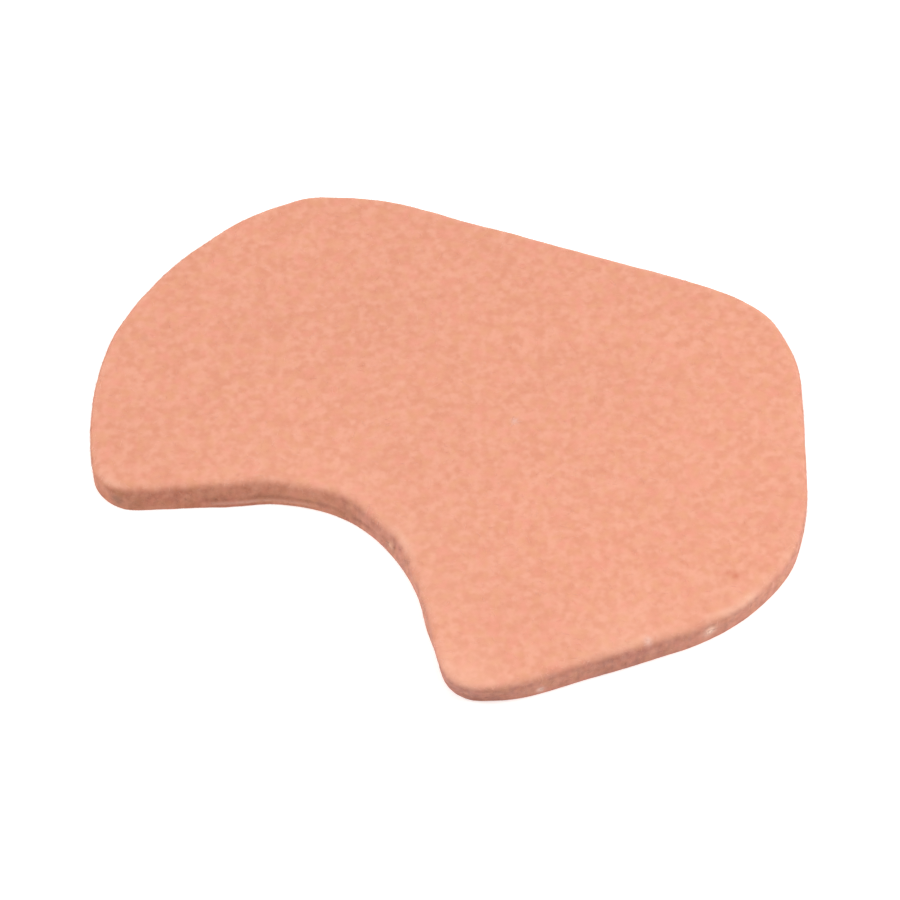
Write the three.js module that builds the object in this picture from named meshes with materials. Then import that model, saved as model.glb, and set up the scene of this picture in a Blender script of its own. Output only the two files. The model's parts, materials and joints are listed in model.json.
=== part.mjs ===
// Sesamoid pad: a flat pad of dense wool felt, worn under the ball of the foot. Its cut-out goes round the
// head of the big toe's long bone, so that the felt carries the load beside it and behind it.
//
// Units are millimetres. The toe end is at -X and the heel end at +X. The outer side, towards the little
// toe, is at +Y, and the inner side, towards the big toe and the arch, is at -Y. +Z is up from the face
// that the pad rests on. The origin is the middle of the pad's box, at that face.

import * as THREE from 'three';

// Overall sizes
const padLength = 79.3; // toe end to heel end
const padWidth = 66.4; // outer side to inner side, at their widest
const feltThickness = 3.2; // felt of one eighth of an inch

// Heel end: a straight edge between two slanted sides
const heelOuterInset = 16.3; // how far the heel's outer corner lies in from the widest outer side
const heelInnerInset = 11.7; // how far the heel's inner corner lies in from the widest inner side
const heelOuterRadius = 14.8;
const heelInnerRadius = 20.4;

// Outer side and front: a short level crest, a slanted shoulder, then the front edge and its return
const crestLength = 12.4;
const crestRadius = 21;
const shoulderLength = 19.5; // along the pad
const shoulderDrop = 17.2; // across the pad
const frontRadius = 30.6;
const frontReturn = 6.8; // the stretch of the front, across the pad, that turns back to the toe tip
const toeTipSetback = 1.3; // the toe tip lies this far behind the front edge
const toeTipRadius = 5;

// Cut-out for the ball of the big toe, open to the front and the inner side
const cutoutLength = 32.8; // front edge to the cut-out's deepest corner
const cutoutWidth = 24.4; // inner side to the toe tip's underside
const cutoutRise = 1.9; // the cut-out's long edge rises this much from the toe tip to its deepest corner
const cutoutSplay = 7.2; // its short edge leans this far towards the heel on the way to the arch tip
const cutoutRadius = 16.9;

// Arch tip: the inner corner behind the cut-out, eased into the slanted inner side
const archTipLength = 7;
const archTipRadius = 4.1;
const archEaseRadius = 21.3;

// Edges. A wall leans by the distance that its top stands back from its foot.
const topEdgeRadius = 0.9; // the top edge is soft all round
const lowerEdgeRadius = 0.25; // the lower edge is nearly sharp
const cutoutWallLean = 0.7; // under the arm, the cut-out's foot shows beyond its top edge
const archTipWallLean = -0.2; // the arch tip is slightly undercut
const innerWallLean = 0.2; // the slanted inner side leans back a little

// How finely round stretches are divided
const degreesPerFacet = 4;
const topEdgeFacets = 4;
const lowerEdgeFacets = 2;
const samePointDistance = 0.001;

// Felt, as dyed
const feltColour = 0xeda88a;
const feltRoughness = 0.96;

// The pad's box, and the lines that the corners are set out from
const frontX = -padLength / 2;
const heelX = padLength / 2;
const outerY = padWidth / 2;
const innerY = -padWidth / 2;
const toeTipY = innerY + cutoutWidth;
const cutoutCornerX = frontX + cutoutLength;
const archTipX = cutoutCornerX + cutoutSplay;

// The outline's corners before rounding, anticlockwise from above. lean belongs to the wall that a corner
// starts, up to the next corner.
const corners = [
  { x: heelX, y: innerY + heelInnerInset, radius: heelInnerRadius, lean: 0 },
  { x: heelX, y: outerY - heelOuterInset, radius: heelOuterRadius, lean: 0 },
  { x: frontX + shoulderLength + crestLength, y: outerY, radius: crestRadius, lean: 0 },
  { x: frontX + shoulderLength, y: outerY, radius: crestRadius, lean: 0 },
  { x: frontX, y: outerY - shoulderDrop, radius: frontRadius, lean: 0 },
  { x: frontX, y: toeTipY + frontReturn, radius: frontRadius, lean: 0 },
  { x: frontX + toeTipSetback, y: toeTipY, radius: toeTipRadius, lean: cutoutWallLean },
  { x: cutoutCornerX, y: toeTipY + cutoutRise, radius: cutoutRadius, lean: archTipWallLean },
  { x: archTipX, y: innerY, radius: archTipRadius, lean: archTipWallLean },
  { x: archTipX + archTipLength, y: innerY, radius: archEaseRadius, lean: innerWallLean },
];

// Each corner with the sides that meet there: their directions, the angle that the outline turns through
// (negative in the cut-out) and the length that its rounding would take off both sides.
function measureCorner(corner, index) {
  const before = corners[(index + corners.length - 1) % corners.length];
  const after = corners[(index + 1) % corners.length];
  const at = new THREE.Vector2(corner.x, corner.y);
  const arriving = at.clone().sub(new THREE.Vector2(before.x, before.y));
  const leaving = new THREE.Vector2(after.x, after.y).sub(at);
  const nextSideLength = leaving.length();
  arriving.normalize();
  leaving.normalize();
  const turn = Math.atan2(arriving.cross(leaving), arriving.dot(leaving));
  const cut = corner.radius * Math.abs(Math.tan(turn / 2));
  return { at, arriving, turn, cut, nextSideLength, leanBefore: before.lean, leanAfter: corner.lean };
}

// Roundings that share a side are scaled down together where the side is too short for both.
function fitShares(measured) {
  return measured.map((corner, index) => {
    const after = measured[(index + 1) % measured.length];
    return Math.min(1, corner.nextSideLength / (corner.cut + after.cut));
  });
}

// One rounded corner, as points that carry their outward direction and the lean of the wall there.
function roundCorner(corner, share) {
  const cut = corner.cut * share;
  const radius = cut / Math.abs(Math.tan(corner.turn / 2));
  const side = Math.sign(corner.turn);
  const outward = new THREE.Vector2(corner.arriving.y, -corner.arriving.x);
  const start = corner.at.clone().addScaledVector(corner.arriving, -cut);
  const centre = start.clone().addScaledVector(outward, -side * radius);
  const facets = Math.max(2, Math.ceil(Math.abs(THREE.MathUtils.radToDeg(corner.turn)) / degreesPerFacet));
  return Array.from({ length: facets + 1 }, (_, step) => {
    const progress = step / facets;
    const direction = outward.clone().rotateAround(new THREE.Vector2(), corner.turn * progress);
    return {
      position: centre.clone().addScaledVector(direction, side * radius),
      direction,
      radius,
      lean: THREE.MathUtils.lerp(corner.leanBefore, corner.leanAfter, progress),
    };
  });
}

// The whole outline. Two roundings that take up the side between them meet in one point, kept once.
function makeOutline() {
  const measured = corners.map(measureCorner);
  const shares = fitShares(measured);
  const points = measured.flatMap((corner, index) => {
    const shareBefore = shares[(index + shares.length - 1) % shares.length];
    return roundCorner(corner, Math.min(shareBefore, shares[index]));
  });
  return points.filter((point, index) => {
    const previous = points[(index + points.length - 1) % points.length];
    return point.position.distanceTo(previous.position) > samePointDistance;
  });
}

// The rings that the wall is lofted through, from the lower face up: the lower edge's rounding, then the
// top edge's. inset is how far a ring lies inside the leaning wall.
function makeRings(outline) {
  const tightest = Math.min(...outline.map((point) => point.radius));
  const topRadius = Math.min(topEdgeRadius, feltThickness / 2, tightest / 2);
  const lowerRadius = Math.min(lowerEdgeRadius, feltThickness / 4, tightest / 2);
  const lowerEdge = Array.from({ length: lowerEdgeFacets + 1 }, (_, step) => {
    const angle = (Math.PI / 2) * (step / lowerEdgeFacets);
    return { inset: lowerRadius * (1 - Math.sin(angle)), height: lowerRadius * (1 - Math.cos(angle)) };
  });
  const topEdge = Array.from({ length: topEdgeFacets + 1 }, (_, step) => {
    const angle = (Math.PI / 2) * (step / topEdgeFacets);
    return {
      inset: topRadius * (1 - Math.cos(angle)),
      height: feltThickness - topRadius * (1 - Math.sin(angle)),
    };
  });
  return [...lowerEdge, ...topEdge];
}

// The closed solid: bands of facets between the rings, with the lower and top faces filled in.
function makePadGeometry() {
  const outline = makeOutline();
  const rings = makeRings(outline);
  const count = outline.length;
  const positions = [];
  for (const ring of rings) {
    for (const point of outline) {
      const offset = -ring.inset - point.lean * (ring.height / feltThickness);
      const { x, y } = point.position.clone().addScaledVector(point.direction, offset);
      positions.push(x, y, ring.height);
    }
  }
  const facets = [];
  for (let ring = 0; ring < rings.length - 1; ring += 1) {
    for (let index = 0; index < count; index += 1) {
      const next = (index + 1) % count;
      const below = ring * count;
      const above = below + count;
      facets.push(below + index, below + next, above + next);
      facets.push(below + index, above + next, above + index);
    }
  }
  for (const faceRing of [0, rings.length - 1]) {
    const first = faceRing * count;
    const contour = outline.map((_, index) => {
      const at = 3 * (first + index);
      return new THREE.Vector2(positions[at], positions[at + 1]);
    });
    for (const [a, b, c] of THREE.ShapeUtils.triangulateShape(contour, [])) {
      facets.push(...(faceRing === 0 ? [first + c, first + b, first + a] : [first + a, first + b, first + c]));
    }
  }
  const geometry = new THREE.BufferGeometry();
  geometry.setAttribute('position', new THREE.Float32BufferAttribute(positions, 3));
  geometry.setIndex(facets);
  geometry.computeVertexNormals();
  return geometry;
}

// A leaning wall widens the pad's box a little on one side, so the pad is centred by its own box.
function centreOnBox(geometry) {
  geometry.computeBoundingBox();
  const centre = geometry.boundingBox.getCenter(new THREE.Vector3());
  geometry.translate(-centre.x, -centre.y, 0);
  return geometry;
}

function makeFelt() {
  return new THREE.MeshStandardMaterial({ color: feltColour, roughness: feltRoughness, metalness: 0 });
}

const feltPad = new THREE.Mesh(centreOnBox(makePadGeometry()), makeFelt());
feltPad.name = 'felt_pad';

const sesamoidPad = new THREE.Group();
sesamoidPad.add(feltPad);

export default sesamoidPad;
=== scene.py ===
"""Looks of a sesamoid pad: one piece of dense salmon felt, lying on a pale table in soft studio light.

The felt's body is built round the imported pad. The line of its foot and the line where its top edge starts
to round over are read from the pad's own mesh, and each other size is a named value of the class that
uses it. Lengths are metres, in the pad's own frame: the toe end is at -X, the heel end at +X, the little
toe's side at +Y, and the pad lies on Z 0.
"""

import json
import logging
import math
from collections.abc import Sequence
from dataclasses import dataclass, field
from enum import Enum

import bmesh
import bpy
import numpy as np
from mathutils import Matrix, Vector, noise
from mathutils.geometry import delaunay_2d_cdt
from mathutils.kdtree import KDTree


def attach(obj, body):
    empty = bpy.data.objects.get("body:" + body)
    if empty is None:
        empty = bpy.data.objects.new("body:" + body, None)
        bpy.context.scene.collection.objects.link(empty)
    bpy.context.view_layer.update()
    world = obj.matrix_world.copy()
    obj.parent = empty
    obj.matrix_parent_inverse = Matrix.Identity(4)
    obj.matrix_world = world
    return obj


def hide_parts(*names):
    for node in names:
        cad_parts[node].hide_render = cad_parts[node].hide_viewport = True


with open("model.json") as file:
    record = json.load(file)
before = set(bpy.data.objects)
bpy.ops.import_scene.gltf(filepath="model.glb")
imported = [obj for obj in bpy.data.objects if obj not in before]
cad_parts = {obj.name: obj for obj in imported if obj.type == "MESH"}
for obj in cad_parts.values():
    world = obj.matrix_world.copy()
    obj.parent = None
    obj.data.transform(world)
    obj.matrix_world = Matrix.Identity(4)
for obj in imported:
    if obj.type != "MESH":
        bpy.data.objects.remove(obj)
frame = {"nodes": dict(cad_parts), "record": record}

MM = 0.001
PAD_NODE = "felt_pad"
PAD_BODY = "root"

log = logging.getLogger("sesamoid_pad")

Tone = tuple[float, float, float, float]
Socket = bpy.types.NodeSocket
Span = tuple[float, float]
Values = np.ndarray | float

# Where most of a cloud pattern lies
CLOUD_SPAN = (0.3, 0.7)
# Coordinates are compared to a thousandth of a millimetre
KEPT_DIGITS = 6
# The net of triangles keeps only what lies inside its outline
INSIDE_FACES = 1


def linear(colour: str) -> Tone:
    """Turns a screen colour into the linear colour that shaders take.

    Args:
        colour: red, green and blue as six hexadecimal digits.

    Returns:
        Red, green, blue and alpha, each from 0 to 1.
    """
    channels = [int(colour[start:start + 2], 16) / 255 for start in (0, 2, 4)]
    red, green, blue = (c / 12.92 if c <= 0.04045 else ((c + 0.055) / 1.055) ** 2.4 for c in channels)
    return red, green, blue, 1.0


def smoothstep(values: Values, low: float, high: float) -> np.ndarray:
    """Rises smoothly from 0 at low to 1 at high, or falls where high is below low."""
    share = np.clip((np.asarray(values) - low) / (high - low), 0.0, 1.0)
    return share * share * (3 - 2 * share)


def bell(values: Values, middle: float, spread: float) -> np.ndarray:
    """A bell curve of height 1, with its middle and its spread in the units of the values."""
    return np.exp(-(((np.asarray(values) - middle) / spread) ** 2))


def space_noise(points: np.ndarray, size: float, seed: float) -> np.ndarray:
    """Smooth random values over space, the same in every run."""
    shift = Vector((seed, -2 * seed, 3 * seed))
    return np.array([noise.noise(Vector(point).to_3d() / size + shift) for point in points])


def place_in_scene(name: str, data: bpy.types.ID) -> bpy.types.Object:
    """Makes an object and links it to the scene.

    Args:
        name: the object's name.
        data: its mesh, lamp or camera.

    Returns:
        The object.
    """
    thing = bpy.data.objects.new(name, data)
    bpy.context.scene.collection.objects.link(thing)
    return thing


class Zone(Enum):
    """The parts of the pad's surface that loose fibres lie on."""

    TOP = "top"
    EDGE = "edge"
    TUFTS = "tufts"


class NodeWork:
    """Adds nodes to one tree and links them."""

    tree: bpy.types.NodeTree

    @staticmethod
    def socket(sockets: Sequence[Socket], name: str) -> Socket:
        """Finds the socket of this name that the node uses as it is set."""
        return next(socket for socket in sockets if socket.enabled and socket.name == name)

    def add(self, kind: str, settings: dict[str, object] | None = None, **inputs: object) -> bpy.types.Node:
        """Adds one node.

        Args:
            kind: the node's type, such as ShaderNodeMath.
            settings: the node's own options.
            **inputs: values or sockets for its inputs, by name with _ for a space.

        Returns:
            The new node.
        """
        node = self.tree.nodes.new(kind)
        for option, value in (settings or {}).items():
            setattr(node, option, value)
        for name, value in inputs.items():
            self.feed(self.socket(node.inputs, name.replace("_", " ")), value)
        return node

    def feed(self, socket: Socket, value: object) -> None:
        """Links a socket to another one, or sets it to a plain value.

        Args:
            socket: the input.
            value: the other socket or the value.
        """
        if isinstance(value, Socket):
            self.tree.links.new(value, socket)
        else:
            socket.default_value = value

    def combine(self, operation: str, first: object, second: object) -> Socket:
        """Works out one sum of two values.

        Args:
            operation: the kind of sum, such as ADD or MULTIPLY.
            first: its first value.
            second: its second value.

        Returns:
            The socket with the result.
        """
        node = self.add("ShaderNodeMath", {"operation": operation})
        self.feed(node.inputs[0], first)
        self.feed(node.inputs[1], second)
        return node.outputs[0]


@dataclass(frozen=True)
class Pattern:
    """A soft random pattern: the distance between its highs, and the tones that a span of it turns to."""

    size: float
    tones: Span = (0.0, 1.0)
    span: Span = CLOUD_SPAN
    shift: float = 0.0
    detail: float = 2.0


class Shader(NodeWork):
    """The nodes of one material."""

    def __init__(self, name: str) -> None:
        """Starts a material with its output and its main shader.

        Args:
            name: the material's name.
        """
        self.material = bpy.data.materials.new(name)
        self.material.use_nodes = True
        self.tree = self.material.node_tree
        self.surface = self.tree.nodes["Principled BSDF"]

    def finish(self, **inputs: object) -> bpy.types.Material:
        """Sets the main shader's inputs.

        Args:
            **inputs: values or sockets, by the input's name with _ for a space.

        Returns:
            The material.
        """
        for name, value in inputs.items():
            self.feed(self.surface.inputs[name.replace("_", " ")], value)
        return self.material

    def places(self, stretch: Sequence[float] = (1, 1, 1), turn: float = 0.0, shift: float = 0.0) -> Socket:
        """The piece's own coordinates, turned about Z, then stretched and moved.

        Args:
            stretch: how much finer the pattern is along X, Y and Z.
            turn: the turn about Z, in radians.
            shift: moves the pattern, so that two of them differ.

        Returns:
            The socket with the coordinates.
        """
        own = self.add("ShaderNodeTexCoord").outputs["Object"]
        turned = self.add("ShaderNodeMapping", Vector=own, Rotation=(0.0, 0.0, turn))
        return self.add("ShaderNodeMapping", Vector=turned.outputs[0], Scale=tuple(stretch),
                        Location=(shift, shift, shift)).outputs[0]

    def along(self, axis: str) -> Socket:
        """How far along one of the piece's own axes a place is."""
        return self.add("ShaderNodeSeparateXYZ", Vector=self.places()).outputs[axis]

    def cloud(self, size: float, detail: float = 2.0, places: Socket | None = None,
              shift: float = 0.0) -> Socket:
        """A soft random pattern, mostly from 0.3 to 0.7."""
        where = places if places is not None else self.places(shift=shift)
        return self.add("ShaderNodeTexNoise", Vector=where, Scale=1 / size, Detail=detail).outputs["Fac"]

    def spread(self, value: Socket, span: Span = CLOUD_SPAN, tones: Span = (0.0, 1.0)) -> Socket:
        """Maps the two ends of a span to two tones, smoothly."""
        return self.add("ShaderNodeMapRange", {"interpolation_type": "SMOOTHSTEP"}, Value=value,
                        From_Min=span[0], From_Max=span[1], To_Min=tones[0], To_Max=tones[1]).outputs[0]

    def toned(self, pattern: Pattern) -> Socket:
        """Lays a pattern over the piece and gives its tones."""
        cloud = self.cloud(pattern.size, pattern.detail, shift=pattern.shift)
        return self.spread(cloud, pattern.span, pattern.tones)

    def blend(self, share: object, below: object, above: object, mode: str = "MIX") -> Socket:
        """Lays one colour over another.

        Args:
            share: how much of the upper colour shows.
            below: the lower colour.
            above: the upper colour.
            mode: how the two combine.

        Returns:
            The socket with the colour.
        """
        kind = {"data_type": "RGBA", "blend_type": mode}
        node = self.add("ShaderNodeMix", kind, Factor=share, A=below, B=above)
        return self.socket(node.outputs, "Result")

    def shade(self, colour: Socket, tone: Socket) -> Socket:
        """Makes a colour lighter or darker by a grey tone."""
        grey = self.add("ShaderNodeCombineColor", Red=tone, Green=tone, Blue=tone).outputs[0]
        return self.blend(1.0, colour, grey, mode="MULTIPLY")

    def carried(self, name: str, output: str = "Fac") -> Socket:
        """A value that the piece's mesh carries at each vertex."""
        return self.add("ShaderNodeAttribute", {"attribute_name": name}).outputs[output]


@dataclass(frozen=True)
class FeltFinish:
    """Dense dyed felt: a soft mottle of tones, matted fibres, and darker, rougher walls where it was cut. The
    walls' darkness is partly painted shade; there is also painted shade in the wall's crease, a painted
    highlight along the top's rim, and painted light that makes the felt lighter towards one side.
    """

    base: str = "d68f74"
    light: str = "e19f86"
    rose: str = "e0937e"
    ochre: str = "da9976"
    # The rim's pale tone: wear, and a painted highlight along the top's rim
    rim: str = "ecb8a0"
    # The cut walls' tones: partly the cut face's own darker colour, partly painted shade
    rosy_cut_shade: str = "d2c3c0"
    brown_cut_shade: str = "cec4bb"
    heel_cut_shade: str = "bfb9c4"
    heel_cut_shade_reach: Span = (-15 * MM, -7 * MM)
    # Painted shade in the wall's crease and along its lowest line
    shaded_groove: str = "7f4e3c"
    # The pressed-out foot's paler tone, partly its own and partly a painted highlight on its ridge
    foot: str = "cf9c8c"
    mottle_tones: Pattern = Pattern(0.95 * MM, span=(0.25, 0.75), detail=1.0)
    rose_tones: Pattern = Pattern(1.5 * MM, tones=(0.0, 0.65), span=(0.45, 0.75), shift=0.05)
    ochre_tones: Pattern = Pattern(1.5 * MM, tones=(0.0, 0.65), span=(0.45, 0.75), shift=0.09)
    broad_tones: Pattern = Pattern(14 * MM, tones=(0.988, 1.012), shift=0.13)
    patch_tones: Pattern = Pattern(0.9 * MM, tones=(0.75, 1.1), shift=0.17)
    cut_tones: Pattern = Pattern(2.6 * MM, span=(0.4, 0.6), shift=0.21)
    broken_tones: Pattern = Pattern(0.95 * MM, tones=(0.4, 1.0), span=(0.3, 0.6), shift=0.25)
    # Painted light: the felt turns lighter towards the heel end and the inner side
    painted_light_slant: float = 0.4
    painted_light_span: Span = (-40 * MM, 40 * MM)
    painted_light_tones: Span = (0.971, 1.029)
    grain_size: float = 0.32 * MM
    fine_tones: Span = (0.993, 1.007)
    column_size: float = 0.5 * MM
    column_stretch: Sequence[float] = (1, 1, 0.15)
    column_tones: Span = (0.87, 1.1)
    strand_width: float = 0.16 * MM
    strand_ratio: float = 7.0
    strand_turns: Sequence[float] = (0.3, 1.4, 2.5)
    strand_span: Span = (0.5, 0.72)
    strand_height: float = 0.6
    relief: float = 0.007 * MM
    roughness: Span = (0.88, 0.98)

    def strands(self, shader: Shader) -> Socket:
        """Matted fibres: thin streaks in a few directions, of which the highest shows.

        Args:
            shader: the material's nodes.

        Returns:
            The socket with the pattern.
        """
        highest = None
        for number, turn in enumerate(self.strand_turns):
            places = shader.places(stretch=(1 / self.strand_ratio, 1, 1), turn=turn, shift=0.01 * number)
            streak = shader.cloud(self.strand_width, detail=1.0, places=places)
            highest = streak if highest is None else shader.combine("MAXIMUM", highest, streak)
        return highest

    def mottle(self, shader: Shader, grain: Socket, strands: Socket) -> Socket:
        """The dyed wool's own colour, with painted light that makes the felt lighter towards the heel end and
        the inner side.

        Args:
            shader: the material's nodes.
            grain: the pattern of fine grains.
            strands: the pattern of matted fibres.

        Returns:
            The socket with the colour.
        """
        colour = shader.blend(shader.toned(self.mottle_tones), linear(self.base), linear(self.light))
        for colour_name, pattern in ((self.rose, self.rose_tones), (self.ochre, self.ochre_tones)):
            colour = shader.blend(shader.toned(pattern), colour, linear(colour_name))
        colour = shader.shade(colour, shader.spread(grain, tones=self.fine_tones))
        colour = shader.shade(colour, shader.spread(strands, self.strand_span, self.fine_tones))
        colour = shader.shade(colour, shader.toned(self.broad_tones))
        # Painted light, lighter towards the heel end and the inner side
        along, across = (shader.along(axis) for axis in "XY")
        towards_arch = shader.combine("SUBTRACT", shader.combine("MULTIPLY", along, self.painted_light_slant), across)
        painted_light = shader.spread(towards_arch, self.painted_light_span, self.painted_light_tones)
        return shader.shade(colour, painted_light)

    def cut_and_shade_tint(self, shader: Shader, colour: Socket) -> Socket:
        """Darkens a colour where the felt was cut, in rosy and brown patches: partly the cut face's own
        darker tone, partly painted shade on the walls.

        Args:
            shader: the material's nodes.
            colour: the dyed wool's own colour.

        Returns:
            The socket with the colour.
        """
        tint = shader.blend(shader.toned(self.cut_tones), linear(self.rosy_cut_shade), linear(self.brown_cut_shade))
        heel = shader.spread(shader.along("X"), self.heel_cut_shade_reach)
        tint = shader.blend(heel, tint, linear(self.heel_cut_shade))
        columns = shader.cloud(self.column_size, places=shader.places(self.column_stretch, shift=0.19))
        columns = shader.spread(columns, tones=self.column_tones)
        patches = shader.combine("MULTIPLY", shader.toned(self.patch_tones), columns)
        share = shader.combine("MULTIPLY", shader.carried("cut_face_and_shade"), patches)
        return shader.blend(share, colour, tint, mode="MULTIPLY")

    def material(self) -> bpy.types.Material:
        """Builds the felt's material.

        Returns:
            The material. It reads the piece's own coordinates and the values that its mesh carries.
        """
        shader = Shader("salmon_felt")
        grain = shader.cloud(self.grain_size, shift=0.02)
        strands = self.strands(shader)
        colour = self.mottle(shader, grain, strands)
        # Wear, a painted highlight and painted light near the top's rim
        colour = shader.blend(shader.carried("rim_wear_and_painted_light"), colour, linear(self.rim))
        colour = self.cut_and_shade_tint(shader, colour)
        broken = shader.toned(self.broken_tones)
        # Painted shade in the crease and along the lowest line; the paler foot, partly a painted highlight
        for name, tone in (("shaded_groove", self.shaded_groove), ("foot_paleness_and_highlight", self.foot)):
            share = shader.combine("MULTIPLY", shader.carried(name), broken)
            colour = shader.blend(share, colour, linear(tone))
        colour = shader.blend(shader.carried("stain", "Alpha"), colour, shader.carried("stain", "Color"))
        height = shader.combine("ADD", shader.combine("MULTIPLY", strands, self.strand_height), grain)
        bump = shader.add("ShaderNodeBump", Height=height, Strength=0.5, Distance=self.relief)
        return shader.finish(
            Base_Color=colour, Roughness=shader.spread(grain, tones=self.roughness), Normal=bump.outputs[0],
            Specular_IOR_Level=0.2, Sheen_Weight=0.15, Sheen_Roughness=0.6, Sheen_Tint=linear("ffd9c6"))


@dataclass(frozen=True)
class WoolFinish:
    """Loose wool fibres of one dye, lighter and darker from fibre to fibre."""

    name: str
    pale: str
    deep: str
    # Darkening of fibres on the walls: the cut tone and its painted shade
    cut: str = "cdbfba"

    def material(self) -> bpy.types.Material:
        """Builds the fibres' material. Each fibre carries its tone, and how much cut tone and painted shade
        the felt under it has, so that fibres on the walls darken with it.

        Returns:
            The material.
        """
        shader = Shader(self.name)
        colour = shader.blend(shader.carried("fibre_tone"), linear(self.deep), linear(self.pale))
        colour = shader.blend(shader.carried("cut_face_and_shade"), colour, linear(self.cut), mode="MULTIPLY")
        return shader.finish(Base_Color=colour, Roughness=0.85, Specular_IOR_Level=0.2, Sheen_Weight=0.15)


@dataclass(frozen=True)
class TableFinish:
    """A matt white light table, lit a little from below so that the pad's shadows go."""

    tone: str = "f7f6f5"
    low_tone: str = "f5f4f3"
    tooth: Pattern = Pattern(3 * MM)
    glow: float = 0.35

    def material(self) -> bpy.types.Material:
        """Builds the table's material.

        Returns:
            The material.
        """
        shader = Shader("white_table")
        colour = shader.blend(shader.toned(self.tooth), linear(self.low_tone), linear(self.tone))
        return shader.finish(Base_Color=colour, Roughness=0.9, Specular_IOR_Level=0.1,
                             Emission_Color=linear("ffffff"), Emission_Strength=self.glow)


@dataclass(frozen=True)
class EdgeStations:
    """Evenly spaced stations round the pad, anticlockwise from above."""

    foot: np.ndarray
    shoulder: np.ndarray
    outward: np.ndarray
    cutout: np.ndarray
    gap: float
    foot_height: float
    shoulder_height: float
    thickness: float

    def near(self, place: Sequence[float], reach: float) -> np.ndarray:
        """How near each station is to a place on the edge, counted along the edge.

        Args:
            place: the place in plan.
            reach: the distance at which the nearness has fallen to about a third.

        Returns:
            1 at the place, 0 far from it.
        """
        count = len(self.foot)
        nearest = int(np.argmin(np.linalg.norm(self.foot - np.asarray(place), axis=1)))
        steps = np.abs(np.arange(count) - nearest)
        return bell(np.minimum(steps, count - steps) * self.gap, 0.0, reach)


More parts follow.
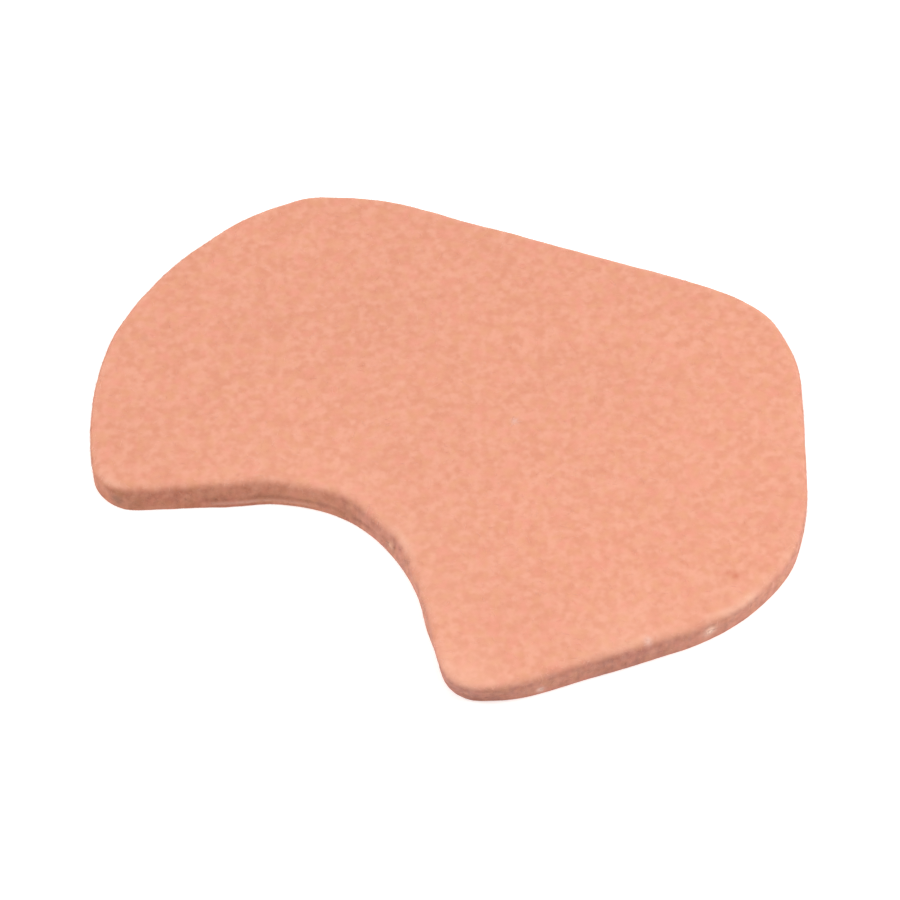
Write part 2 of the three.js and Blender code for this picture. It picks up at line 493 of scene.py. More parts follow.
@dataclass
class PadEdge:
    """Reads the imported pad's wall: its foot line, its shoulder line and the stretch that is the cut-out."""

    node: str = PAD_NODE
    station_gap: float = 0.25 * MM
    smoothing: float = 0.6 * MM
    same_height: float = 0.002 * MM
    least_distance: float = 0.01 * MM
    cutout_reach: Span = (9 * MM, 7 * MM)
    cutout_facing: Span = (0.25, 0.75)

    def level_ring(self, mesh: bmesh.types.BMesh, height: float) -> np.ndarray:
        """Walks round the vertices of one height.

        Args:
            mesh: the pad, with its doubles merged.
            height: the ring's height.

        Returns:
            The ring's places in plan, anticlockwise.
        """
        def level(vertex: bmesh.types.BMVert) -> bool:
            """Tells whether a vertex is at the ring's height."""
            return abs(vertex.co.z - height) < self.same_height

        def on_wall(edge: bmesh.types.BMEdge) -> bool:
            """Tells whether an edge borders a face that isn't level."""
            return any(not all(level(vertex) for vertex in face.verts) for face in edge.link_faces)

        start = max((v for v in mesh.verts if level(v)), key=lambda v: (round(v.co.x, KEPT_DIGITS), v.co.y))
        ring, before, here = [start], None, start
        while True:
            rim = [edge for edge in here.link_edges if level(edge.other_vert(here)) and on_wall(edge)]
            after = next(v for v in (edge.other_vert(here) for edge in rim) if v is not before)
            if after is start:
                break
            ring.append(after)
            before, here = here, after
        places = np.array([(v.co.x, v.co.y) for v in ring])
        following = np.roll(places, -1, axis=0)
        area = np.sum(places[:, 0] * following[:, 1] - following[:, 0] * places[:, 1])
        return places if area > 0 else np.roll(places[::-1], 1, axis=0)

    def resample(self, ring: np.ndarray, shares: np.ndarray, count: int) -> np.ndarray:
        """Spreads a ring's places over the stations and rounds off its facets.

        Args:
            ring: the ring's places.
            shares: how far along the foot line each of them is, from 0 to 1.
            count: the number of stations.

        Returns:
            One place for each station.
        """
        at = np.arange(count) / count
        closed = np.vstack([ring, ring[:1]])
        spaced = np.column_stack([np.interp(at, shares, closed[:, axis]) for axis in (0, 1)])
        gaps = np.arange(count) * self.station_gap
        weights = bell(np.minimum(gaps, count * self.station_gap - gaps), 0.0, self.smoothing)
        filtered = np.fft.fft(weights / weights.sum())[:, None]
        return np.real(np.fft.ifft(np.fft.fft(spaced, axis=0) * filtered, axis=0))

    def cutout_share(self, foot: np.ndarray, outward: np.ndarray) -> np.ndarray:
        """Says how much each station belongs to the cut-out, from the openings that the record states.

        Args:
            foot: the stations' places.
            outward: the stations' outward directions.

        Returns:
            1 in the cut-out, 0 elsewhere, with soft ends.
        """
        share = np.zeros(len(foot))
        for opening in frame["record"]["physics"]["openings"]:
            low, high = (np.array(corner[:2]) for corner in opening["box_m"])
            towards = np.clip(foot, low, high) - foot
            distance = np.linalg.norm(towards, axis=1)
            facing = np.sum(towards * outward, axis=1) / np.maximum(distance, self.least_distance)
            near = smoothstep(distance, *self.cutout_reach)
            share = np.maximum(share, near * smoothstep(facing, *self.cutout_facing))
        return share

    def read(self) -> EdgeStations:
        """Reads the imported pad.

        Returns:
            The stations of its edge.
        """
        mesh = bmesh.new()
        mesh.from_mesh(frame["nodes"][self.node].data)
        bmesh.ops.remove_doubles(mesh, verts=mesh.verts, dist=self.same_height)
        heights = np.unique(np.round([v.co.z for v in mesh.verts], KEPT_DIGITS))
        wall = int(np.argmax(np.diff(heights)))
        foot_height, shoulder_height = heights[wall], heights[wall + 1]
        foot_ring = self.level_ring(mesh, foot_height)
        shoulder_ring = self.level_ring(mesh, shoulder_height)
        mesh.free()
        nearest = np.argmin(np.linalg.norm(shoulder_ring - foot_ring[0], axis=1))
        shoulder_ring = np.roll(shoulder_ring, -nearest, axis=0)
        steps = np.linalg.norm(np.roll(foot_ring, -1, axis=0) - foot_ring, axis=1)
        shares = np.concatenate([[0.0], np.cumsum(steps)]) / steps.sum()
        count = round(steps.sum() / self.station_gap)
        foot = self.resample(foot_ring, shares, count)
        shoulder = self.resample(shoulder_ring, shares, count)
        along = np.roll(foot, -1, axis=0) - np.roll(foot, 1, axis=0)
        along /= np.linalg.norm(along, axis=1)[:, None]
        outward = np.column_stack([along[:, 1], -along[:, 0]])
        return EdgeStations(foot, shoulder, outward, self.cutout_share(foot, outward), self.station_gap,
                            float(foot_height), float(shoulder_height), float(heights[-1]))


@dataclass(frozen=True)
class EdgeTouch:
    """One place where the die or wear has left the edge off its plain line, and where the rim's wear and
    painted highlight, the painted light near the rim and the cut tone with its painted shade change. Sizes
    are millimetres.
    """

    where: str
    x: float
    y: float
    reach: float
    swell: float = 0.0
    set_back: float = 0.0
    soften: float = 0.0
    pale: float = 0.0
    painted_light: float = 0.0
    cut: float = 0.0


@dataclass(frozen=True)
class Ridge:
    """A soft ridge along the wall. Its height and its spread are shares of the felt's thickness."""

    height: float
    spread: float
    amount: float

    def at(self, share: Values) -> Values:
        """The ridge's amount at a share of the thickness."""
        return self.amount * bell(share, self.height, self.spread)


@dataclass
class WallShape:
    """How the wall and its soft top edge depart from a plain extrusion, and where painted shade and painted
    light lie on them, station by station.
    """

    edge: EdgeStations
    touches: Sequence[EdgeTouch]
    top_radius: float = 0.92 * MM
    inner_softening: float = 0.13 * MM
    radius_wander: float = 0.08
    spread_out: float = 0.065 * MM
    outline_wander: float = 0.02 * MM
    rim_wander: float = 0.03 * MM
    cutout_rim_wander: float = 0.11 * MM
    groove_line: Ridge = Ridge(0.36, 0.1, -0.07 * MM)
    # Painted shade in the wall's crease
    groove_shade_amount: Ridge = Ridge(0.36, 0.1, 0.5)
    shoulder_roll: Ridge = Ridge(0.62, 0.12, 0.04 * MM)
    groove_reach: Sequence[float] = (-29 * MM, -25 * MM, -10 * MM, -4 * MM)
    foot_flare: Ridge = Ridge(0.22, 0.07, 0.07 * MM)
    # The foot's paleness, partly its own paler tone and partly a painted highlight on its ridge
    foot_tone: Ridge = Ridge(0.22, 0.056, 0.85)
    # Painted contact shadow along the wall's lowest line
    foot_contact_shade: Ridge = Ridge(0.06, 0.07, 0.3)
    foot_reach: Sequence[float] = (-27.5 * MM, -25 * MM, -17 * MM, -11 * MM)
    set_back_span: Span = (0.2, 0.9)
    wander_gain: float = 1.6
    usual_share: float = 0.7
    # Wear and a painted highlight all round the rim
    wear: float = 0.06
    shaded_groove: np.ndarray = field(init=False)
    flare: np.ndarray = field(init=False)
    swell: np.ndarray = field(init=False)
    set_back: np.ndarray = field(init=False)
    radius: np.ndarray = field(init=False)
    pale: np.ndarray = field(init=False)
    painted_light: np.ndarray = field(init=False)

    def wander(self, size: float, seed: float) -> np.ndarray:
        """A slow random change along the edge, from about -1 to 1 at each station."""
        return self.wander_gain * space_noise(self.edge.foot, size, seed)

    def sum_touches(self, quality: str) -> np.ndarray:
        """Adds up one quality of all touches.

        Args:
            quality: the quality, by its name in a touch.

        Returns:
            The sum at each station, as the touches state it.
        """
        total = np.zeros(len(self.edge.foot))
        for touch in self.touches:
            near = self.edge.near((touch.x * MM, touch.y * MM), touch.reach * MM)
            total += getattr(touch, quality) * near
        return total

    def along_cutout(self, reach: Sequence[float]) -> np.ndarray:
        """A share of the cut-out's wall that comes in and dies away along X.

        Args:
            reach: where it starts, where it is whole, where it starts to fade and where it ends.

        Returns:
            The share at each station.
        """
        x = self.edge.foot[:, 0]
        start, whole, fade, end = reach
        return self.edge.cutout * smoothstep(x, start, whole) * smoothstep(x, end, fade)

    def __post_init__(self) -> None:
        """Works out the values of each station."""
        groove_share = self.usual_share + 0.5 * self.wander(3 * MM, seed=7.0)
        self.shaded_groove = self.along_cutout(self.groove_reach) * np.clip(groove_share, 0.1, 1.0)
        flare_share = self.usual_share + 0.6 * self.wander(4 * MM, seed=13.0)
        self.flare = self.along_cutout(self.foot_reach) * np.clip(flare_share, 0.0, 1.0)
        outline = self.spread_out + self.outline_wander * self.wander(4 * MM, seed=17.0)
        self.swell = outline + MM * self.sum_touches("swell")
        rim = self.rim_wander + (self.cutout_rim_wander - self.rim_wander) * self.edge.cutout
        self.set_back = rim * self.wander(2.5 * MM, seed=23.0) + MM * self.sum_touches("set_back")
        radius = self.top_radius - self.inner_softening * self.edge.outward[:, 1]
        radius = radius * (1 + self.radius_wander * self.wander(6 * MM, seed=3.0))
        self.radius = radius + MM * self.sum_touches("soften")
        # The rim's wear with its painted highlight, then painted light that reaches further in from the rim
        self.pale = self.wear + self.sum_touches("pale")
        self.painted_light = self.sum_touches("painted_light")

    def offset(self, height: Values) -> np.ndarray:
        """How far the wall stands out of its plain line.

        Args:
            height: the height above the table, at each station or in all.

        Returns:
            The distance at each station.
        """
        share = height / self.edge.thickness
        shaded_groove = self.shaded_groove * (self.groove_line.at(share) + self.shoulder_roll.at(share))
        foot = self.flare * self.foot_flare.at(share)
        return shaded_groove + foot + self.swell - self.set_back * smoothstep(share, *self.set_back_span)

    def groove_shade(self, height: Values) -> np.ndarray:
        """How much painted shade lies in the wall's crease and along its lowest line, a painted contact
        shadow, from 0 to 1 at each station.
        """
        share = height / self.edge.thickness
        return self.shaded_groove * self.groove_shade_amount.at(share) + self.flare * self.foot_contact_shade.at(share)

    def foot_shade(self, height: Values) -> np.ndarray:
        """How pale the pressed-out foot is at a height, partly its own paler tone and partly a painted
        highlight on its ridge, from 0 to 1 at each station.
        """
        return self.flare * self.foot_tone.at(height / self.edge.thickness)


@dataclass(frozen=True)
class Mark:
    """A small spot of another colour in the felt. Places and sizes are millimetres."""

    x: float
    y: float
    z: float
    radius: float
    colour: str
    strength: float
    tuft: bool = False

    def nearness(self, places: np.ndarray) -> np.ndarray:
        """How near each place is to the spot, from 0 to 1."""
        centre = np.array([self.x, self.y, self.z]) * MM
        return bell(np.linalg.norm(places - centre, axis=1), 0.0, self.radius * MM)


@dataclass(frozen=True)
class Matting:
    """One scale of the felt's unevenness. The size and the two lifts are millimetres."""

    size: float
    on_top: float
    on_wall: float
    seed: float


@dataclass
class Skin:
    """A surface as it grows: vertices, the way each faces, the values that it carries, and faces."""

    places: list[np.ndarray] = field(default_factory=list)
    facing: list[np.ndarray] = field(default_factory=list)
    carried: dict[str, list[np.ndarray]] = field(default_factory=dict)
    faces: list[Sequence[int]] = field(default_factory=list)
    count: int = 0

    def add(self, places: np.ndarray, facing: np.ndarray, carried: dict[str, Values]) -> np.ndarray:
        """Adds vertices.

        Args:
            places: their places.
            facing: the way the surface faces at each.
            carried: the values that they carry, by name.

        Returns:
            The new vertices' numbers.
        """
        self.places.append(places)
        self.facing.append(facing)
        for name, values in carried.items():
            self.carried.setdefault(name, []).append(np.broadcast_to(values, len(places)))
        self.count += len(places)
        return np.arange(self.count - len(places), self.count)

    def band(self, below: np.ndarray, above: np.ndarray) -> None:
        """Joins two closed rows of vertices with four-sided faces."""
        next_below, next_above = np.roll(below, -1), np.roll(above, -1)
        self.faces.extend(np.column_stack([below, next_below, next_above, above]).tolist())


@dataclass
class FeltBody:
    """The felt itself: a flat pad with a soft top edge and cut walls."""

    edge: EdgeStations
    shape: WallShape
    marks: Sequence[Mark]
    finish: FeltFinish = field(default_factory=FeltFinish)
    name: str = "felt_body"
    lower_radius: float = 0.16 * MM
    lower_steps: int = 3
    wall_steps: int = 16
    round_steps: int = 8
    top_gap: float = 0.3 * MM
    under_gap: float = 0.8 * MM
    jitter: float = 0.22
    net_seed: int = 11
    inward_gap: float = 0.5
    border_gap: float = 0.6
    same_place: float = 0.001 * MM
    # The cut tone and its painted shade: how they die away over the top's rounding, and how strong they are
    # along X, strongest at the toe end
    cut_fade: Span = (1.1, 0.15)
    cut_shade_places: Sequence[float] = (-40 * MM, -23 * MM, -13 * MM, 40 * MM)
    cut_shade_depths: Sequence[float] = (1.0, 0.9, 0.7, 0.63)
    # Where the rim's wear and painted highlight lie
    rim_place: float = -0.3 * MM
    rim_reach: float = 0.5 * MM
    rim_heights: Span = (0.75, 0.93)
    rim_share: float = 0.8
    rim_change: float = 0.7
    rim_patch: float = 2.2 * MM
    rim_seed: float = 31.0
    flat_facing: float = 0.999
    painted_light_reach: float = 5 * MM
    matting: Sequence[Matting] = (
        Matting(1.1, 0.005, 0.024, 1.0), Matting(0.55, 0.002, 0.014, 5.0), Matting(11, 0.03, 0.0, 9.0))
    fill: float = 1.0
    skin: Skin = field(default_factory=Skin)

    def row(self, height: Values, inset: Values, tilt: float,
            carried: dict[str, Values]) -> np.ndarray:
        """Adds one closed row of vertices round the pad.

        Args:
            height: the row's height, at each station or in all.
            inset: how far it lies inside the wall.
            tilt: how far the surface has turned from the wall's direction towards the top, in radians.
            carried: the values that its vertices carry.

        Returns:
            The vertices' numbers.
        """
        edge = self.edge
        heights = np.broadcast_to(height, len(edge.foot))
        rise = (heights - edge.foot_height) / (edge.shoulder_height - edge.foot_height)
        out = self.shape.offset(heights) - inset
        plan = edge.foot + (edge.shoulder - edge.foot) * rise[:, None] + edge.outward * out[:, None]
        facing = np.column_stack([edge.outward * math.cos(tilt), np.full(len(plan), math.sin(tilt))])
        return self.skin.add(np.column_stack([plan, heights]), facing, carried)

    def wall_values(self, height: Values, cut: float) -> dict[str, Values]:
        """What the wall's vertices carry at one height.

        Args:
            height: the height above the table.
            cut: how much of the cut face and its painted shade shows.

        Returns:
            The values, by name.
        """
        cut_shade_depth = np.interp(self.edge.foot[:, 0], self.cut_shade_places, self.cut_shade_depths)
        cut_shade_depth = cut_shade_depth + self.shape.sum_touches("cut")
        return {"cut_face_and_shade": cut * cut_shade_depth, "shaded_groove": self.shape.groove_shade(height),
                "foot_paleness_and_highlight": self.shape.foot_shade(height)}

    def build_wall(self) -> tuple[np.ndarray, np.ndarray]:
        """Builds the rows from the underside's rim to the top's rim.

        Returns:
            The numbers of the lowest and the highest row's vertices.
        """
        thickness, radius, rows = self.edge.thickness, self.shape.radius, []
        for angle in np.linspace(-math.pi / 2, 0, self.lower_steps + 1):
            height = self.lower_radius * (1 + math.sin(angle))
            inset = self.lower_radius * (1 - math.cos(angle))
            rows.append(self.row(height, inset, angle, self.wall_values(height, 1.0)))
        for share in np.linspace(0, 1, self.wall_steps + 1)[1:-1]:
            height = self.lower_radius + (thickness - radius - self.lower_radius) * share
            rows.append(self.row(height, 0.0, 0.0, self.wall_values(height, 1.0)))
        for angle in np.linspace(0, math.pi / 2, self.round_steps + 1):
            height = thickness - radius * (1 - math.sin(angle))
            inset = radius * (1 - math.cos(angle))
            cut = float(smoothstep(angle, *self.cut_fade))
            rows.append(self.row(height, inset, angle, self.wall_values(height, cut)))
        for below, above in zip(rows, rows[1:]):
            self.skin.band(below, above)
        return rows[0], rows[-1]

    def build_face(self, rim: np.ndarray, gap: float, height: float, upward: bool) -> None:
        """Fills a rim with an even net of triangles.

        Args:
            rim: the rim's vertices, anticlockwise.
            gap: the net's spacing.
            height: the face's height.
            upward: whether it faces up.
        """
        border = np.concatenate(self.skin.places)[rim][:, :2]
        inner = self.net_inside(border, gap)
        points = [Vector(place) for place in np.vstack([border, inner])]
        outer = [list(range(len(border)))]
        result = delaunay_2d_cdt(points, [], outer, INSIDE_FACES, self.same_place, True)
        towards = np.array([0.0, 0.0, 1.0 if upward else -1.0])
        places = np.column_stack([inner, np.full(len(inner), height)])
        new = self.skin.add(places, np.tile(towards, (len(inner), 1)),
                            {"cut_face_and_shade": 0.0, "shaded_groove": 0.0, "foot_paleness_and_highlight": 0.0})
        numbers = np.concatenate([rim, new])
        first = [originals[0] for originals in result[3]]
        for face in result[2]:
            corners = [first[corner] for corner in face]
            if not self.spans_hollow(corners, len(rim)):
                whole = numbers[corners].tolist()
                self.skin.faces.append(whole if upward else whole[::-1])

    @staticmethod
    def spans_hollow(corners: list[int], rim_count: int) -> bool:
        """Tells whether a triangle lies outside, across a hollow of the rim.

        Args:
            corners: its corners, anticlockwise, where those below rim_count are the rim's in order.
            rim_count: how many vertices the rim has.

        Returns:
            True where all corners are on the rim and run round it the wrong way.
        """
        if max(corners) >= rim_count:
            return False
        first = corners.index(min(corners))
        ordered = corners[first:] + corners[:first]
        return ordered != sorted(ordered)

    def net_inside(self, border: np.ndarray, gap: float) -> np.ndarray:
        """Spreads points in an even net inside a border, each a little out of line.

        Args:
            border: the border's places.
            gap: the net's spacing.

        Returns:
            The points that lie inside, clear of the border.
        """
        low, high = border.min(axis=0), border.max(axis=0)
        columns = np.arange(low[0], high[0], gap)
        rows = np.arange(low[1], high[1], gap * math.sqrt(3) / 2)
        x, y = np.meshgrid(columns, rows)
        x = x + (np.arange(len(rows)) % 2)[:, None] * gap / 2
        random = np.random.default_rng(self.net_seed)
        net = np.column_stack([x.ravel(), y.ravel()]) + random.uniform(-1, 1, (x.size, 2)) * self.jitter * gap
        tree = self.tree_of(border)
        nearest = np.array([tree.find((*place, 0.0))[1] for place in net])
        away = border[nearest] - net
        inward = np.sum(away * self.edge.outward[nearest], axis=1)
        clear = np.linalg.norm(away, axis=1) > self.border_gap * gap
        return net[(inward > self.inward_gap * gap) & clear]

    @staticmethod
    def tree_of(places: np.ndarray) -> KDTree:
        """Sorts places in plan so that the nearest one to a point is found fast.

        Args:
            places: the places.

        Returns:
            The sorted places, by their numbers.
        """
        tree = KDTree(len(places))
        for number, place in enumerate(places):
            tree.insert((*place[:2], 0.0), number)
        tree.balance()
        return tree

    def matted(self, places: np.ndarray) -> np.ndarray:
        """Lifts and lowers every vertex a little, as matted felt does.

        Args:
            places: the smooth places.

        Returns:
            The places after that.
        """
        facing = np.concatenate(self.skin.facing)
        cut = np.concatenate(self.skin.carried["cut_face_and_shade"])
        lift = np.zeros(len(places))
        for mat in self.matting:
            height = MM * (mat.on_top + (mat.on_wall - mat.on_top) * cut)
            lift += height * space_noise(places, mat.size * MM, mat.seed)
        moved = places + facing * lift[:, None]
        moved[:, 2] = np.maximum(moved[:, 2], 0.0)
        return moved

    def rim_wear_and_painted_light(self, places: np.ndarray, rim: np.ndarray) -> np.ndarray:
        """How pale the felt is near the top's rim, from wear and from a painted highlight along the rim, with
        painted light that reaches further in.

        Args:
            places: the smooth places of all vertices.
            rim: the numbers of the rim's vertices.

        Returns:
            The share of the rim's colour at each vertex, from 0 to 1.
        """
        tree = self.tree_of(places[rim])
        found = [tree.find((x, y, 0.0)) for x, y, _ in places]
        nearest = [number for _, number, _ in found]
        turned_down = np.concatenate(self.skin.facing)[:, 2] < self.flat_facing
        inside = np.array([gap for _, _, gap in found]) * np.where(turned_down, -1.0, 1.0)
        high = smoothstep(places[:, 2] / self.edge.thickness, *self.rim_heights)
        change = self.rim_change * space_noise(places, self.rim_patch, self.rim_seed)
        broken = np.clip(self.rim_share + change, 0.0, 1.0)
        worn_and_highlit = self.shape.pale[nearest] * broken * bell(inside, self.rim_place, self.rim_reach)
        painted_light = self.shape.painted_light[nearest] * bell(np.maximum(inside, 0.0), 0.0, self.painted_light_reach)
        return np.clip(high * (worn_and_highlit + painted_light), 0.0, 1.0)

    def stains(self, places: np.ndarray) -> np.ndarray:
        """The marks' colours.

        Args:
            places: the places of all vertices.

        Returns:
            Red, green, blue and how much of them shows, at each vertex.
        """
        stain = np.zeros((len(places), 4))
        for mark in self.marks:
            share = mark.strength * mark.nearness(places)
            stronger = share > stain[:, 3]
            stain[stronger, :3] = linear(mark.colour)[:3]
            stain[stronger, 3] = share[stronger]
        return stain

    def build(self) -> bpy.types.Object:
        """Returns:
            The piece.
        """
        lowest, highest = self.build_wall()
        self.build_face(highest, self.top_gap, self.edge.thickness, upward=True)
        self.build_face(lowest, self.under_gap, 0.0, upward=False)
        smooth = np.concatenate(self.skin.places)
        places = self.matted(smooth)
        mesh = bpy.data.meshes.new(self.name)
        mesh.from_pydata(places.tolist(), [], self.skin.faces)
        carried = {name: np.concatenate(values) for name, values in self.skin.carried.items()}
        carried["rim_wear_and_painted_light"] = self.rim_wear_and_painted_light(smooth, highest)
        for name, values in carried.items():
            mesh.attributes.new(name, "FLOAT", "POINT").data.foreach_set("value", values.astype(np.float32))
        stain = mesh.attributes.new("stain", "FLOAT_COLOR", "POINT")
        stain.data.foreach_set("color", self.stains(places).ravel().astype(np.float32))
        mesh.polygons.foreach_set("use_smooth", np.ones(len(mesh.polygons), dtype=bool))
        mesh.materials.append(self.finish.material())
        piece = place_in_scene(self.name, mesh)
        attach(piece, PAD_BODY)
        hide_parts(PAD_NODE)
        return piece


@dataclass(frozen=True)
class Strand:
    """One shape of fibre, for a fibre of length 1: how it arches up and how it bends sideways."""

    arch: float
    middle_bend: float
    end_bend: float
    end_rise: float


class FibreTree(NodeWork):
    """Geometry Nodes that scatter short fibres over a surface and give them one material."""

    SINK = 0.03
    INPUTS = {"Surface": "Geometry", "Density": "Float", "Shortest": "Float", "Longest": "Float",
              "Thickness": "Float", "Lift": "Float", "Seed": "Int", "Finish": "Material"}

    def __init__(self, name: str, strands: Sequence[Strand], segments: int) -> None:
        """Builds the tree.

        Args:
            name: the tree's name.
            strands: the shapes of fibre that are mixed.
            segments: the number of straight stretches in a fibre.
        """
        self.tree = bpy.data.node_groups.new(name, "GeometryNodeTree")
        sockets = self.tree.interface
        self.keys = {
            label: sockets.new_socket(label, in_out="INPUT", socket_type=f"NodeSocket{kind}").identifier
            for label, kind in self.INPUTS.items()}
        sockets.new_socket("Fibres", in_out="OUTPUT", socket_type="NodeSocketGeometry")
        given = self.add("NodeGroupInput").outputs
        spots = self.add("GeometryNodeDistributePointsOnFaces", Mesh=given["Surface"],
                         Density=given["Density"], Seed=given["Seed"])
        laid = self.add(
            "GeometryNodeInstanceOnPoints", Points=spots.outputs["Points"],
            Rotation=spots.outputs["Rotation"], Pick_Instance=True,
            Instance=self.mixed(strands, segments, given),
            Instance_Index=self.chance("INT", 0, len(strands) - 1, seed=1),
            Scale=self.chance("FLOAT", given["Shortest"], given["Longest"], seed=2))
        lean = self.combine("MULTIPLY", given["Lift"], self.chance("FLOAT", -1.0, 0.0, seed=3))
        about = self.chance("FLOAT", 0.0, 2 * math.pi, seed=4)
        turn = self.add("ShaderNodeCombineXYZ", Y=lean, Z=about)
        turned = self.add("GeometryNodeRotateInstances", Instances=laid.outputs[0], Rotation=turn.outputs[0])
        tone = self.chance("FLOAT", 0.0, 1.0, seed=5)
        toned = self.add("GeometryNodeStoreNamedAttribute", {"data_type": "FLOAT", "domain": "INSTANCE"},
                         Geometry=turned.outputs[0], Name="fibre_tone", Value=tone)
        whole = self.add("GeometryNodeRealizeInstances", Geometry=toned.outputs[0])
        dressed = self.add("GeometryNodeSetMaterial", Geometry=whole.outputs[0], Material=given["Finish"])
        self.feed(self.add("NodeGroupOutput").inputs["Fibres"], dressed.outputs[0])

    def chance(self, kind: str, low: object, high: object, seed: int) -> Socket:
        """A random value for each fibre."""
        node = self.add("FunctionNodeRandomValue", {"data_type": kind}, Min=low, Max=high, Seed=seed)
        return self.socket(node.outputs, "Value")

    def mixed(self, strands: Sequence[Strand], segments: int, given: bpy.types.bpy_prop_collection) -> Socket:
        """Makes one tube of length 1 for each shape of fibre.

        Args:
            strands: the shapes.
            segments: the number of straight stretches in each.
            given: the tree's inputs.

        Returns:
            The socket with the tubes, as instances to pick from.
        """
        radius = self.combine("DIVIDE", given["Thickness"], given["Longest"])
        section = self.add("GeometryNodeCurvePrimitiveCircle", Resolution=3, Radius=radius)
        joined = self.add("GeometryNodeJoinGeometry")
        for strand in reversed(strands):
            middle = (0.5, strand.middle_bend, 2 * strand.arch)
            path = self.add("GeometryNodeCurveQuadraticBezier", Resolution=segments,
                            Start=(0.0, 0.0, -self.SINK), Middle=middle,
                            End=(1.0, strand.end_bend, strand.end_rise))
            tube = self.add("GeometryNodeCurveToMesh", Curve=path.outputs[0],
                            Profile_Curve=section.outputs[0], Fill_Caps=True)
            smooth = self.add("GeometryNodeSetShadeSmooth", Geometry=tube.outputs[0])
            single = self.add("GeometryNodeGeometryToInstance", Geometry=smooth.outputs[0])
            self.feed(joined.inputs[0], single.outputs[0])
        return joined.outputs[0]


@dataclass
class LooseFibres:
    """Short fibres that lie loose on one part of the felt."""

    name: str
    zone: Zone
    finish: WoolFinish
    density: float
    lengths: Span
    thickness: float
    lift: float
    seed: int
    strands: Sequence[Strand] = (
        Strand(0.03, 0.12, -0.05, -0.01), Strand(0.04, -0.2, 0.1, 0.0), Strand(0.02, 0.3, 0.25, -0.01),
        Strand(0.05, -0.08, -0.3, 0.01), Strand(0.03, 0.25, -0.15, 0.0), Strand(0.025, -0.3, -0.1, 0.01))
    segments: int = 4
    top_facing: float = 0.96
    wall_facing: float = -0.3
    tuft_share: float = 0.5

    def bears(self, face: bmesh.types.BMFace, marks: Sequence[Mark]) -> bool:
        """Tells whether fibres lie on a face of the felt. Long ones stay clear of the table.

        Args:
            face: the face.
            marks: the felt's marks.

        Returns:
            True where the face belongs to the fibres' part of the felt.
        """
        if self.zone is Zone.TOP:
            return face.normal.z > self.top_facing
        centre = face.calc_center_median()
        if centre.z < self.lengths[1]:
            return False
        if self.zone is Zone.EDGE:
            return self.wall_facing < face.normal.z <= self.top_facing
        return any(mark.tuft and mark.nearness(np.array([centre]))[0] > self.tuft_share for mark in marks)

    def build(self, felt: bpy.types.Object, marks: Sequence[Mark]) -> bpy.types.Object:
        """Args:
            felt: the felt's body.
            marks: the felt's marks, some of which are tufts.

        Returns:
            The piece.
        """
        bed = bmesh.new()
        bed.from_mesh(felt.data)
        bare = [face for face in bed.faces if not self.bears(face, marks)]
        bmesh.ops.delete(bed, geom=bare, context="FACES")
        surface = bpy.data.meshes.new(f"{self.name}_bed")
        bed.to_mesh(surface)
        bed.free()
        carrier = place_in_scene(f"{self.name}_bed", surface)
        tree = FibreTree(self.name, self.strands, self.segments)
        modifier = carrier.modifiers.new(self.name, "NODES")
        modifier.node_group = tree.tree
        values = {"Density": self.density, "Shortest": self.lengths[0], "Longest": self.lengths[1],
                  "Thickness": self.thickness, "Lift": self.lift, "Seed": self.seed,
                  "Finish": self.finish.material()}
        for label, value in values.items():
            modifier[tree.keys[label]] = value
        graph = bpy.context.evaluated_depsgraph_get()
        mesh = bpy.data.meshes.new_from_object(carrier.evaluated_get(graph), depsgraph=graph)
        mesh.name = self.name
        bpy.data.objects.remove(carrier)
        bpy.data.meshes.remove(surface)
        piece = place_in_scene(self.name, mesh)
        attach(piece, PAD_BODY)
        return piece


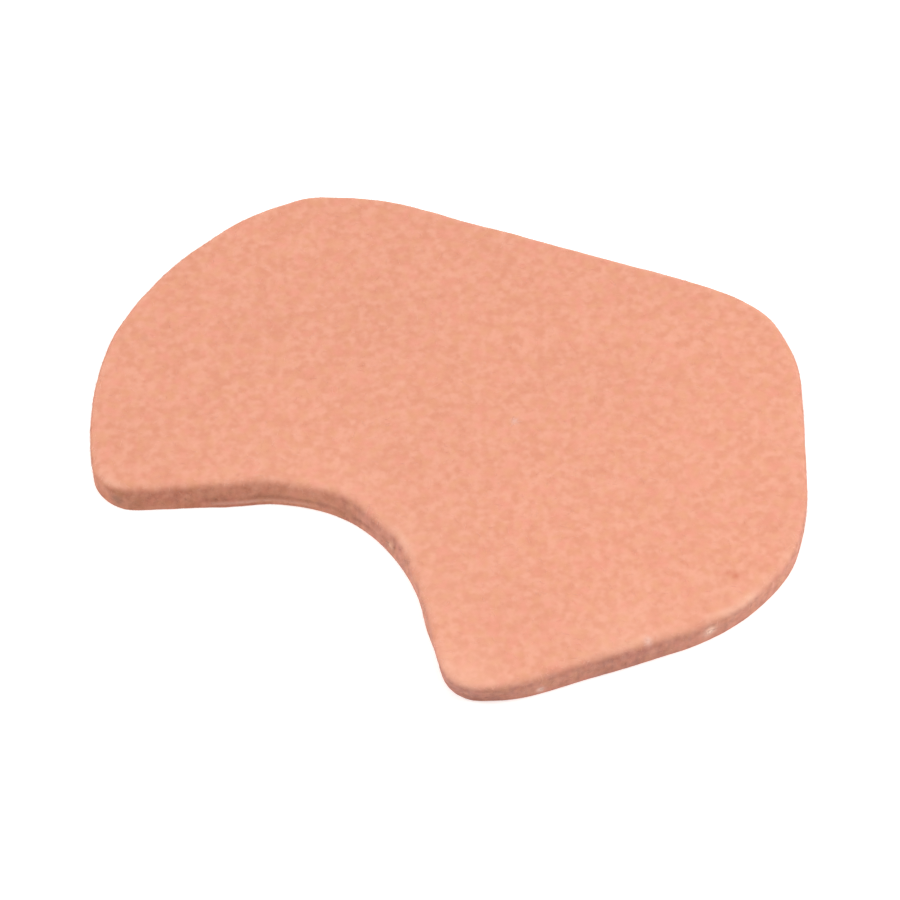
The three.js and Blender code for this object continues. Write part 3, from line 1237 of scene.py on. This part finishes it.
@dataclass
class SesamoidPad:
    """The whole pad: the felt, its marks and its loose fibres."""

    touches: Sequence[EdgeTouch] = (
        EdgeTouch("outer crest", -16, 33, 2.8, swell=0.29),
        EdgeTouch("front shoulder", -29, 25.5, 3.2, swell=0.12),
        EdgeTouch("front flank", -33.2, 20.8, 2, swell=-0.1),
        EdgeTouch("front corner", -37.7, 13, 3, swell=0.15),
        EdgeTouch("toe tip, rim", -37.9, -7.2, 1.7, set_back=-0.16, soften=-0.25, pale=0.35),
        EdgeTouch("toe tip", -37, -8, 3, swell=-0.07),
        EdgeTouch("under the arm", -21, -8, 7, swell=0.06, set_back=0.35, soften=-0.15, painted_light=0.06),
        EdgeTouch("under the arm, middle", -24.6, -8.2, 2.2, swell=0.1),
        EdgeTouch("under the arm, hollow", -20.2, -7.9, 1.6, swell=-0.08),
        EdgeTouch("under the arm, arc end", -16.5, -8.3, 3.5, cut=-0.18),
        EdgeTouch("before the arc", -11.5, -9.9, 3.2, swell=-0.08, set_back=0.45, painted_light=0.1, cut=0.14),
        EdgeTouch("mid-arc", -5.9, -15.1, 3, swell=0.08, set_back=0.4, pale=0.4, painted_light=0.1, cut=0.08),
        EdgeTouch("cut-out, short edge", -2.9, -21, 2.4, swell=-0.15, painted_light=0.1),
        EdgeTouch("cut-out, step in its short edge", -2.3, -24, 1.8, swell=0.08, set_back=0.25, painted_light=0.05),
        EdgeTouch("cut-out, below the step", -1.2, -27.4, 1.8, swell=-0.07),
        EdgeTouch("arch tip", 1.5, -33.1, 5, set_back=-0.35, soften=-0.1, pale=0.15, painted_light=0.3, cut=0.36),
        EdgeTouch("arch ease", 8, -33, 5, swell=0.14),
        EdgeTouch("inner side", 20, -29, 6.5, swell=0.22, set_back=0.05, pale=0.2, painted_light=0.16, cut=0.16),
        EdgeTouch("inner side, heel end", 25.6, -26.9, 2.2, swell=0.1),
        EdgeTouch("low corner", 32, -23.3, 3.2, set_back=-0.2, soften=-0.3, pale=0.8, painted_light=0.1, cut=0.1),
        EdgeTouch("heel, inner corner", 37.2, -16.8, 4, swell=0.24, soften=-0.2, pale=0.25),
        EdgeTouch("heel end", 39.6, 0.5, 4, swell=0.05, painted_light=0.06),
        EdgeTouch("heel, outer corner", 36.2, 15.8, 2.8, swell=0.26),
        EdgeTouch("outer side, heel end", 24, 22.2, 4, swell=0.08),
        EdgeTouch("outer side, heel bend", 30.6, 19.7, 2.2, swell=-0.07),
        EdgeTouch("outer side, middle", 6.9, 28.1, 1.6, swell=0.08),
        EdgeTouch("outer side, nick", 2.2, 29.6, 2.6, swell=-0.12),
        EdgeTouch("outer side, toe end", -6.4, 32.5, 2.2, swell=-0.1),
    )
    marks: Sequence[Mark] = (
        Mark(7.5, 1.4, 3.2, 0.38, "e6b9ac", 0.65, tuft=True),
        Mark(-4.9, 6.6, 3.2, 0.4, "e6ad92", 0.5),
        Mark(13.2, -29.7, 3.2, 0.35, "cb8865", 0.5),
        Mark(31.3, -19.2, 3.2, 0.45, "c9765a", 0.85),
        Mark(30.5, -18.8, 3.2, 0.4, "c9765a", 0.7),
        Mark(-36.7, 12.8, 3.1, 0.4, "c08770", 0.4),
        Mark(-34.1, 12.8, 3.2, 0.4, "c08770", 0.4),
        Mark(21.6, -27.4, 2.9, 0.4, "ecc4b6", 0.85, tuft=True),
        Mark(28.5, -25.5, 1.7, 0.6, "fbd6c2", 0.95, tuft=True),
        Mark(10.1, -32.5, 0.9, 0.36, "f6ddd0", 1.0, tuft=True),
        Mark(-6.1, -14.1, 1.4, 0.45, "daa88e", 0.85, tuft=True),
        Mark(-5.6, -14.4, 1.7, 0.3, "804f3c", 0.7),
        Mark(-36.6, -8.1, 1.3, 0.75, "86624e", 0.8),
    )
    dyed: WoolFinish = WoolFinish("dyed_wool", "fbcdb8", "efb29a")
    undyed: WoolFinish = WoolFinish("undyed_wool", "f8d3c3", "efc3b1")

    def build(self) -> list[bpy.types.Object]:
        """Builds the felt, then the fibres on it.

        Returns:
            The pieces.
        """
        edge = PadEdge().read()
        log.info("edge: %d stations, felt %.1f mm thick", len(edge.foot), edge.thickness / MM)
        felt = FeltBody(edge, WallShape(edge, self.touches), self.marks).build()
        fibres = (
            LooseFibres("surface_nap", Zone.TOP, self.dyed, density=0.6 / MM**2, lengths=(0.5 * MM, 1.1 * MM),
                        thickness=0.009 * MM, lift=0.03, seed=5),
            LooseFibres("edge_fuzz", Zone.EDGE, self.dyed, density=5.0 / MM**2, lengths=(0.25 * MM, 0.6 * MM),
                        thickness=0.01 * MM, lift=0.25, seed=7),
            LooseFibres("undyed_tufts", Zone.TUFTS, self.undyed, density=30 / MM**2,
                        lengths=(0.3 * MM, 0.6 * MM), thickness=0.015 * MM, lift=0.3, seed=9),
        )
        return [felt] + [kind.build(felt, self.marks) for kind in fibres]


@dataclass
class Table:
    """The plain pale surface that the pad lies on."""

    finish: TableFinish = field(default_factory=TableFinish)
    half_width: float = 1.5
    drop: float = 0.01 * MM

    def build(self) -> None:
        """Builds the table top, as stage."""
        mesh = bpy.data.meshes.new("table")
        corners = [(side * self.half_width, end * self.half_width, -self.drop)
                   for side, end in ((-1, -1), (1, -1), (1, 1), (-1, 1))]
        mesh.from_pydata(corners, [], [(0, 1, 2, 3)])
        mesh.materials.append(self.finish.material())
        place_in_scene("table", mesh)


@dataclass(frozen=True)
class SoftLamp:
    """A square soft light, aimed at the pad's middle."""

    name: str
    place: tuple[float, float, float]
    width: float
    power: float

    def build(self) -> None:
        """Hangs the lamp."""
        lamp = bpy.data.lights.new(self.name, "AREA")
        lamp.shape = "SQUARE"
        lamp.size = self.width
        lamp.energy = self.power
        holder = place_in_scene(self.name, lamp)
        holder.location = self.place
        holder.rotation_euler = (-Vector(self.place)).to_track_quat("-Z", "Y").to_euler()


@dataclass
class Studio:
    """Soft light from above and from both sides, in a white room."""

    lamps: Sequence[SoftLamp] = (
        SoftLamp("right_lamp", (0.95, 0.1, 0.6), 0.7, 8.8),
        SoftLamp("left_lamp", (-0.95, 0.1, 0.6), 0.7, 7.8),
        SoftLamp("top_lamp", (0.0, 0.1, 1.0), 0.8, 1.5),
    )
    room_colour: str = "ffffff"
    room_strength: float = 0.47

    def build(self) -> None:
        """Sets the room's light, the lamps and how light becomes colour."""
        room = bpy.data.worlds.new("white_room")
        room.use_nodes = True
        background = room.node_tree.nodes["Background"]
        background.inputs["Color"].default_value = linear(self.room_colour)
        background.inputs["Strength"].default_value = self.room_strength
        bpy.context.scene.world = room
        bpy.context.scene.view_settings.view_transform = "Standard"
        for lamp in self.lamps:
            lamp.build()


@dataclass(frozen=True)
class PhotoCamera:
    """A long lens that looks down on the pad across its inner side, as the photo does."""

    elevation: float = math.radians(55)
    distance: float = 500 * MM
    lens: float = 180.0
    sensor: float = 36.0
    aim: tuple[float, float, float] = (0.32 * MM, -1.4 * MM, 1.6 * MM)
    nearest: float = 10 * MM

    def build(self) -> None:
        """Sets the camera up as the scene's camera."""
        lens = bpy.data.cameras.new("photo_camera")
        lens.lens = self.lens
        lens.sensor_width = self.sensor
        lens.clip_start = self.nearest
        back = Vector((0.0, -math.cos(self.elevation), math.sin(self.elevation)))
        camera = place_in_scene("photo_camera", lens)
        camera.location = Vector(self.aim) + back * self.distance
        camera.rotation_euler = (-back).to_track_quat("-Z", "Y").to_euler()
        bpy.context.scene.camera = camera


def main() -> None:
    """Builds the camera, the studio and the pad in order, and reports each piece."""
    logging.basicConfig(level=logging.INFO, format="%(message)s")
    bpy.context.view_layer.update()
    PhotoCamera().build()
    Studio().build()
    Table().build()
    for piece in SesamoidPad().build():
        log.info("%s: %d triangles", piece.name, sum(len(face.vertices) - 2 for face in piece.data.polygons))


if __name__ == "__main__":
    main()
